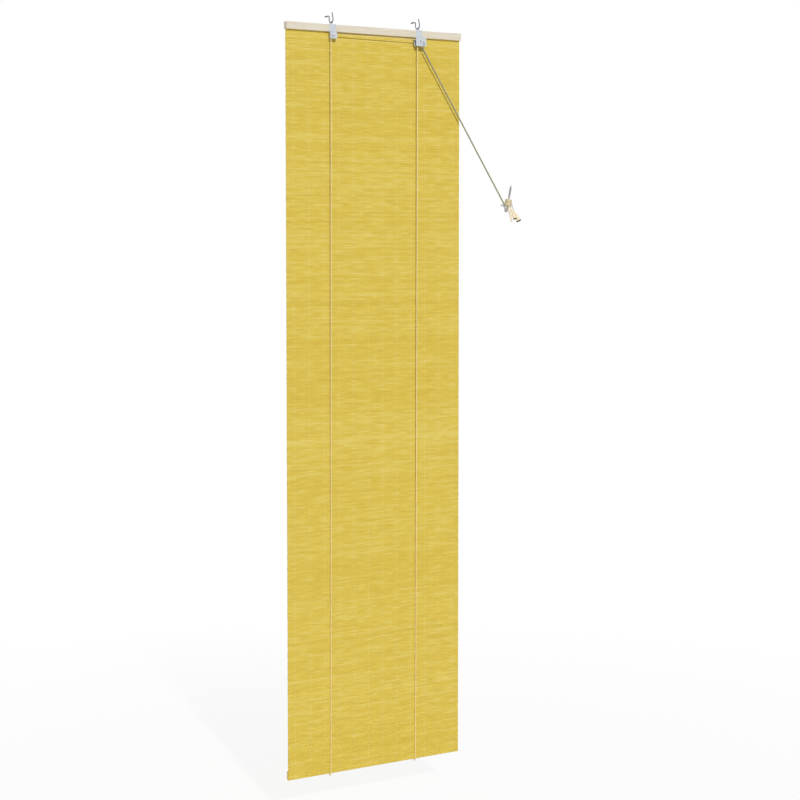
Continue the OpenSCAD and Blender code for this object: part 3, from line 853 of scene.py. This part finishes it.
class BLIND_OT_pull_cords(bpy.types.Operator):
    """The two free pull cords, the turns on the cord hook and the two tails"""
    bl_idname = "blind.pull_cords"
    bl_label = "Pull cords"

    def execute(self, context):
        # The pull cords and tails take a darker copy of the cord's colour as painted shade, and the turns a lighter
        # copy as painted light
        material = thread_finish("pull cord", tuple(colours().pull_cord), FIBRE_SCALE)
        wound = thread_finish("wound cord", tuple(colours().wound_cord), FIBRE_SCALE)
        start_x, start_z, knob_x, knob_z = pull_ends()
        wrap = wrap_middle()
        turns = self.turns(wrap, wound)
        tails = [self.tail("left_tail", wrap, LEFT_DROP, LEFT_TILT, LEFT_TAIL_RISE, material),
                 self.tail("right_tail", wrap, RIGHT_DROP, RIGHT_TILT, RIGHT_TAIL_RISE, material)]
        carried = [frame["nodes"][n] for n in ("peg", "peg_screw", "left_tassel", "right_tassel")]
        carried += [bpy.data.objects[n] for n in ("cord_hook_thread", "cord_hook_bend")]
        for name, y, side in (("left_pull_cord", LANE_1, -1), ("right_pull_cord", LANE_0, 1)):
            run_y = LANE_MIDDLE + side * PULL_GAP
            route = [(start_x, y, start_z),
                     (start_x + MEET_L * PULL_X, run_y, start_z + MEET_L * PULL_Z),
                     (knob_x - MEET_L * PULL_X, run_y, knob_z - MEET_L * PULL_Z),
                     (knob_x, run_y, knob_z)]
            neck = (PULL_NECK, (CORD_R, CORD_FULL_R))
            verts, faces, path, length = rope(route, neck, sizes().lay_pitch, CORD_STEP)
            cord = piece(name + "_twist", verts, faces, material, "rail", "cord", name)
            with_it = [turns, *tails, *carried] if side < 0 else []
            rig.cord(cord, exit=route[0], length=length, diameter=2 * CORD_FULL_R, far_end="knot",
                    stiffness="limp", lay="taut", path=path, with_pieces=with_it)
        return {"FINISHED"}

    def turns(self, wrap, material):
        """Layers of turns round the shank of the cord hook, wound up and down."""
        steps = int(TURNS_PER_LAYER * POINTS_PER_TURN)
        points = []
        angle = 0.0
        for layer, r in enumerate(LAYER_R):
            for i in range(steps + 1):
                share = i / steps
                rise = share if layer % 2 == 0 else 1 - share
                a = angle + share * TURNS_PER_LAYER * FULL_TURN
                z = (rise - 0.5) * (WRAP_H - 2 * CORD_R)
                points.append((r * math.cos(a), r * math.sin(a), z))
            angle += TURNS_PER_LAYER * FULL_TURN
        cos, sin = math.cos(SCREW_TILT), math.sin(SCREW_TILT)
        placed = [(wrap.x + x * cos + z * sin, wrap.y + y, wrap.z - x * sin + z * cos)
                  for x, y, z in points]
        verts, faces, _, _ = rope(placed, CORD_R, sizes().lay_pitch, CORD_STEP, sides=8)
        return piece("cord_turns", verts, faces, material, "rail", "cord", "cord_wraps")

    def tail(self, name, wrap, drop, tilt, rise, material):
        """A tail from the side of the turns to the top of its tassel."""
        up, out = shank_directions()
        along = tassel_axis(tilt)
        top = wrap + drop
        route = [wrap + TAIL_START_R * out + rise * up,
                 wrap + TAIL_BEND_R * out + (rise - TAIL_BEND_DROP) * up,
                 top + TAIL_STRAIGHT * along,
                 top + TAIL_END * along]
        verts, faces, _, _ = rope(route, TAIL_R, sizes().lay_pitch, FINE_STEP, sides=9)
        return piece(name + "_twist", verts, faces, material, "rail", "cord", name + "_cord")


class BLIND_OT_lift_cords(bpy.types.Operator):
    """The two lift cords: the lift shortens the runs and raises the turn at the lower edge"""
    bl_idname = "blind.lift_cords"
    bl_label = "Lift cords"

    def execute(self, context):
        material = thread_finish("lift cord", tuple(colours().lift_cord), FIBRE_SCALE)
        for name, wheel_x, lane in (("left_lift_cord", LEFT_WHEEL_X, LANE_1),
                                    ("right_lift_cord", RIGHT_WHEEL_X, LANE_0)):
            x = wheel_x - RUN_R
            front = [(x, FRONT_Y, MAT_LOW.z), (x, LANE_0, WHEEL_Z)]
            back = [(x, BACK_Y, MAT_LOW.z), (x, BACK_Y, CORD_TOP)]
            self.run(name + "_head", self.head(wheel_x, lane), CORD_R, material, "rail", name)
            self.run(name + "_loop", self.loop(x), CORD_FULL_R, material, "bottom", name)
            for end, route in (("_front", front), ("_back", back)):
                length = math.dist(*route)
                neck = (tuple(length - place for place in LIFT_NECK), (CORD_FULL_R, CORD_R))
                made = self.run(name + end, route, neck, material, "rail", name)
                flatten(made, *route[-1])
        return {"FINISHED"}

    def head(self, wheel_x, lane):
        """The way over the cord's own wheel, over the lock's wheel and round the guide pin."""
        guide_end = math.degrees(math.atan2(PULL_Z, PULL_X)) - 90 + 360
        dx, dz = GUIDE_X - RIGHT_WHEEL_X, GUIDE_Z - WHEEL_Z
        lean = math.acos((RUN_R + GUIDE_RUN) / math.hypot(dx, dz))
        leave = math.degrees(math.atan2(dz, dx) + lean)
        past_top = 80
        route = arc(wheel_x, WHEEL_Z, LANE_0, RUN_R, 180, 90, WHEEL_PARTS)
        if wheel_x != RIGHT_WHEEL_X:
            route += [(RIGHT_WHEEL_X, lane, WHEEL_Z + RUN_R)]
        route += arc(RIGHT_WHEEL_X, WHEEL_Z, lane, RUN_R, past_top, leave, WHEEL_PARTS)
        route += arc(GUIDE_X, GUIDE_Z, lane, GUIDE_RUN, leave + 180, guide_end, GUIDE_PARTS)
        x, _, z = route[-1]
        return [*route, (x + TAIL_STEP * PULL_X, lane, z + TAIL_STEP * PULL_Z)]

    def loop(self, x):
        """The half turn under the lower edge of the mat, from the back to the front."""
        middle_y = (BACK_Y + FRONT_Y) / 2
        bend_r = BACK_Y - middle_y
        angles = [math.radians(-180 * i / LOOP_PARTS) for i in range(LOOP_PARTS + 1)]
        return [(x, middle_y + bend_r * math.cos(a), MAT_LOW.z + bend_r * math.sin(a))
                for a in angles]

    def run(self, name, route, radius, material, body, node):
        """One part of a lift cord, on the body that carries it."""
        verts, faces, _, _ = rope(route, radius, sizes().lay_pitch, LIFT_STEP)
        return piece(name, verts, faces, material, body, "cord", node)


class BLIND_OT_mat(bpy.types.Operator):
    """Every slat of the mat, each with its own width, bow and tone"""
    bl_idname = "blind.mat"
    bl_label = "Slat mat"

    def execute(self, context):
        rng = np.random.default_rng(SLAT_SEED)
        s = sizes()
        pitch = slat_pitch()
        sides = len(GROOVE_SHADE_RING)
        verts, faces, tones = [], [], []
        patch = np.convolve(rng.normal(0, PATCH_TONE, s.slat_count + PATCH_SLATS - 1),
                            np.hanning(PATCH_SLATS) / (PATCH_SLATS / 2), "valid")
        for i in range(s.slat_count):
            height = pitch + s.slat_lap * rng.uniform(*LAP_RANGE)
            t = MAT_HALF_T * rng.uniform(*THICKNESS_RANGE)
            left = MAT_LOW.x + rng.uniform(0, END_PLAY)
            right = MAT_HIGH.x - rng.uniform(0, END_PLAY)
            tone = float(np.clip(MIDDLE_TONE + patch[i] + rng.normal(0, SLAT_TONE), 0, 1))
            wander = np.cumsum(rng.normal(0, 1, SLAT_SPANS + 1))
            wander -= np.linspace(wander[0], wander[-1], SLAT_SPANS + 1)
            wander = s.slat_bow * np.clip(wander / WANDER_SPREAD, -1, 1)
            drift = np.clip(tone + rng.normal(0, DRIFT_TONE, SLAT_SPANS + 1), 0, 1)
            edge = min(EDGE_H, height * EDGE_SHARE)
            thin = t * EDGE_THIN
            ring = [(thin, 0), (t, edge), (t, height - edge), (thin, height),
                    (-thin, height), (-t, height - edge), (-t, edge), (-thin, 0)]
            low = MAT_LOW.z + i * pitch + (pitch - height) / 2
            faces += tube_faces(SLAT_SPANS + 1, sides, len(verts))
            for k, share in enumerate(np.linspace(0, 1, SLAT_SPANS + 1)):
                x = left + (right - left) * share
                verts += [(x, MAT_Y + y, low + z + wander[k]) for y, z in ring]
                tones += [drift[k]] * sides
        # Marks the slat edges that take painted shade
        grooves = np.tile(GROOVE_SHADE_RING, len(verts) // sides)
        mat = piece("bamboo_slats", verts, faces, bamboo_finish(), "rail", "bamboo", "slat_mat",
                    smooth=False, tone=tones, groove=grooves)
        flatten(mat, 0, MAT_Y, MAT_HIGH.z)
        return {"FINISHED"}


class BLIND_OT_threads(bpy.types.Operator):
    """The warp threads, two strands each, woven over and under the slats"""
    bl_idname = "blind.threads"
    bl_label = "Warp threads"

    def execute(self, context):
        s = sizes()
        r = s.thread_r
        pitch = slat_pitch()
        out = MAT_HALF_T + r * STRAND_SEAT
        columns = int((MAT_HIGH.x - MAT_LOW.x) / s.thread_pitch)
        low, high = (corner[2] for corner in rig.box("warp_threads"))
        first = int(math.ceil((low - MAT_LOW.z) / pitch))
        last = int(math.floor((high - MAT_LOW.z) / pitch))
        half_slats = np.arange(first * 2, last * 2 + 1)
        heights = half_slats * pitch / 2 + MAT_LOW.z
        weave = WEAVE[half_slats % len(WEAVE)]
        corners = np.linspace(0, FULL_TURN, STRAND_SIDES, endpoint=False) + math.pi / 4
        verts, faces = [], []
        for column in range(columns):
            x = (column - (columns - 1) / 2) * s.thread_pitch
            for strand in (1, -1):
                faces += tube_faces(len(heights), STRAND_SIDES, len(verts))
                for z, over in zip(heights, weave):
                    y = MAT_Y + strand * over * out
                    cx = x + strand * r * (1.0 if over == 0 else STRAND_LEAN)
                    verts += [(cx + STRAND_WIDTH * r * math.cos(a), y + r * math.sin(a), z)
                              for a in corners]
        material = thread_finish("warp thread", tuple(colours().thread), THREAD_FIBRE_SCALE)
        threads = piece("woven_threads", verts, faces, material, "rail", "thread", "warp_threads")
        flatten(threads, 0, MAT_Y, MAT_HIGH.z)
        return {"FINISHED"}


class BLIND_OT_screws(bpy.types.Operator):
    """The cut threads of the two wall hooks and the cord hook, and the cord hook's bent end"""
    bl_idname = "blind.screws"
    bl_label = "Screw threads and bent end"

    def execute(self, context):
        material = hook_finish()
        for side in ("left", "right"):
            x, wire, depth = hook_wire(side)
            cone = [(HOOK_START, wire, wire + HOOK_CREST),
                    (depth - HOOK_TAPER, wire, wire + HOOK_CREST),
                    (depth - HOOK_END, *HOOK_TIP)]
            self.ridge(side + "_hook_thread", Vector((x, 0, 0)), (X_AXIS, -Z_AXIS, Y_AXIS), cone,
                       material)
        light = cord_hook_finish()
        along, across = shank_directions()
        wrap = wrap_middle()
        self.ridge("cord_hook_thread", wrap, (across, Y_AXIS, along), CORD_HOOK_CONE, light)
        self.bend(wrap + along * (SHANK_END + BEND_UP), along, across, light)
        return {"FINISHED"}

    def bend(self, foot, along, across, material):
        """The bent end of the cord hook: a small turn under the shank and an arm to the left."""
        turn = [(BEND_R * (math.cos(a) - 1), BEND_R * math.sin(a))
                for a in np.linspace(0, -BEND_TURN, BEND_POINTS)]
        corners = [foot + across * x + along * z for x, z in [(0, BEND_SINK), *turn, *BEND_ARM]]
        route, _ = even(curve_through([tuple(c) for c in corners], CURVE_POINTS), FINE_STEP)
        verts, faces, _, _ = rope(route, BEND_WIRE_R, 1.0, FINE_STEP, sides=BEND_SIDES, depth=0.0)
        piece("cord_hook_bend", verts, faces, material, "rail", "hook_steel")

    def ridge(self, name, origin, directions, cone, material):
        """A sharp ridge wound on a shank, whose foot and crest follow the cone's points."""
        u, v, axis = directions
        places, feet, crests = zip(*cone)
        steps = int((places[-1] - places[0]) / SCREW_PITCH * SCREW_STEPS)
        verts = []
        for i in range(steps + 1):
            h = places[0] + i * SCREW_PITCH / SCREW_STEPS
            foot = float(np.interp(h, places, feet)) - SCREW_SINK
            run_out = min(1, i / SCREW_STEPS, (steps - i) / SCREW_STEPS)
            tall = (float(np.interp(h, places, crests)) - foot) * run_out
            a = FULL_TURN * i / SCREW_STEPS
            out = u * math.cos(a) + v * math.sin(a)
            for rise, reach in ((SCREW_FLANK, 0), (0, tall), (-SCREW_FLANK, 0)):
                verts.append(tuple(origin + axis * (h + rise * SCREW_PITCH) + out * (foot + reach)))
        piece(name, verts, tube_faces(steps + 1, 3), material, "rail", "hook_steel", smooth=False)


class BLIND_OT_small_rings(bpy.types.Operator):
    """Dark cups painted as shade in the tassels' bored ends, and dark rims painted as shade round the two eyes"""
    bl_idname = "blind.small_rings"
    bl_label = "Bored ends and eye rims"

    def execute(self, context):
        # Painted shade: a dark cup in each bore, and a dark band round the outside of its rim
        dark = thread_finish("bored end", tuple(colours().bore_painted_shade), BORE_SHADE_FIBRE_SCALE)
        for side, drop, tilt, r in (("left", LEFT_DROP, LEFT_TILT, LEFT_TASSEL_R),
                                    ("right", RIGHT_DROP, RIGHT_TILT, RIGHT_TASSEL_R)):
            along = tassel_axis(tilt)
            across = along.cross(Z_AXIS).normalized()
            mouth = wrap_middle() + drop - along * TASSEL_H
            profile = [BORE_SHADE_BOTTOM, *((r + out, h) for out, h in BORE_SHADE_WALL)]
            self.ring(side + "_tassel_bore", mouth, (across, across.cross(along), along), profile,
                      dark, "tassel_wood")
        # Painted shade: a dark ring round each eye, where the hook shades the lug
        wear_and_shade = hook_finish()
        turn = np.linspace(0, FULL_TURN, EYE_RIM_POINTS, endpoint=False)
        rim = [(EYE_R + EYE_RIM_R + EYE_RIM_R * math.cos(a), EYE_RIM_H * math.sin(a)) for a in turn]
        for side in ("left", "right"):
            eye = Vector((hook_wire(side)[0], EYE_Y, EYE_Z))
            self.ring(side + "_eye_rim", eye, (X_AXIS, Z_AXIS, Y_AXIS), rim, wear_and_shade, "hook_steel")
        return {"FINISHED"}

    def ring(self, name, middle, directions, profile, material, slot):
        """A ring with a closed profile of radius and height, turned about the last direction."""
        u, v, axis = directions
        n = len(profile)
        verts, faces = [], []
        for i in range(RING_STEPS):
            a = FULL_TURN * i / RING_STEPS
            out = u * math.cos(a) + v * math.sin(a)
            verts += [tuple(middle + out * r + axis * h) for r, h in profile]
            here, there = i * n, (i + 1) % RING_STEPS * n
            faces += [(here + j, here + (j + 1) % n, there + (j + 1) % n, there + j)
                      for j in range(n)]
        piece(name, verts, faces, material, "rail", slot)


class BLIND_OT_finishes(bpy.types.Operator):
    """Finishes of the solids that stay as they are"""
    bl_idname = "blind.finishes"
    bl_label = "Finishes"

    def execute(self, context):
        c = colours()
        pin_zinc = darker(c.zinc, (0.75, 0.75, 0.75))
        groups = {
            ("front_batten", "back_batten"): rail_finish(),
            ("left_bracket", "right_bracket"):
                zinc_finish("zinc sheet", tuple(c.zinc), roughness=0.42, wear_and_shade=0.82, metallic=0.35),
            ("rail_nails", "left_wheel", "left_axle", "front_lock_wheel", "back_lock_wheel",
             "lock_axle", "guide_pin", "lock_pin", "lock_roller", "bracket_screws", "cord_staples"):
                zinc_finish("zinc pins", pin_zinc, roughness=0.3, wear_and_shade=0.8, metallic=0.6),
            ("left_hook", "right_hook"): hook_finish(),
            ("peg_screw",): cord_hook_finish(),
            ("peg",): turned_finish("peg wood", tuple(c.peg), (60, 60, 4)),
            ("left_tassel", "right_tassel"):
                turned_finish("tassel wood", tuple(c.tassel), (80, 80, 8)),
            ("bottom_slat",): turned_finish("bamboo lath", tuple(c.bamboo), (5, 160, 160)),
        }
        for names, material in groups.items():
            for name in names:
                mesh = frame["nodes"][name].data
                mesh.materials.clear()
                mesh.materials.append(material)
        return {"FINISHED"}


class BLIND_PT_panel(bpy.types.Panel):
    """Shows the sizes, the colours and the steps that build the blind"""
    bl_idname = "BLIND_PT_panel"
    bl_label = "Bamboo blind"
    bl_space_type = "VIEW_3D"
    bl_region_type = "UI"
    bl_category = "Blind"

    def draw(self, context):
        for group in (context.scene.blind_sizes, context.scene.blind_colours):
            for key in group.__annotations__:
                self.layout.prop(group, key)
        for step in STEPS:
            self.layout.operator(step.bl_idname)


# The pull cords carry the thread and bent end of the cord hook, so the screws come before them
STEPS = (BLIND_OT_stage, BLIND_OT_screws, BLIND_OT_small_rings, BLIND_OT_pull_cords,
         BLIND_OT_lift_cords, BLIND_OT_mat, BLIND_OT_threads, BLIND_OT_finishes)
CLASSES = (BLIND_PG_sizes, BLIND_PG_colours, *STEPS, BLIND_PT_panel)


def register():
    """Adds the classes and the scene's two groups of settings."""
    for cls in CLASSES:
        bpy.utils.register_class(cls)
    bpy.types.Scene.blind_sizes = PointerProperty(type=BLIND_PG_sizes)
    bpy.types.Scene.blind_colours = PointerProperty(type=BLIND_PG_colours)


def unregister():
    """Takes away what register added."""
    del bpy.types.Scene.blind_colours
    del bpy.types.Scene.blind_sizes
    for cls in reversed(CLASSES):
        bpy.utils.unregister_class(cls)


def main():
    """Builds the blind step by step and writes down its size."""
    register()
    bpy.ops.blind.stage()
    bpy.ops.blind.screws()
    bpy.ops.blind.small_rings()
    bpy.ops.blind.pull_cords()
    bpy.ops.blind.lift_cords()
    bpy.ops.blind.mat()
    bpy.ops.blind.threads()
    bpy.ops.blind.finishes()
    with open("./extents.json", "w") as out:
        json.dump({"cad": CAD_BOX, "visual": [list(corner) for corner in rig.bounds()]}, out)


if __name__ == "__main__":
    main()
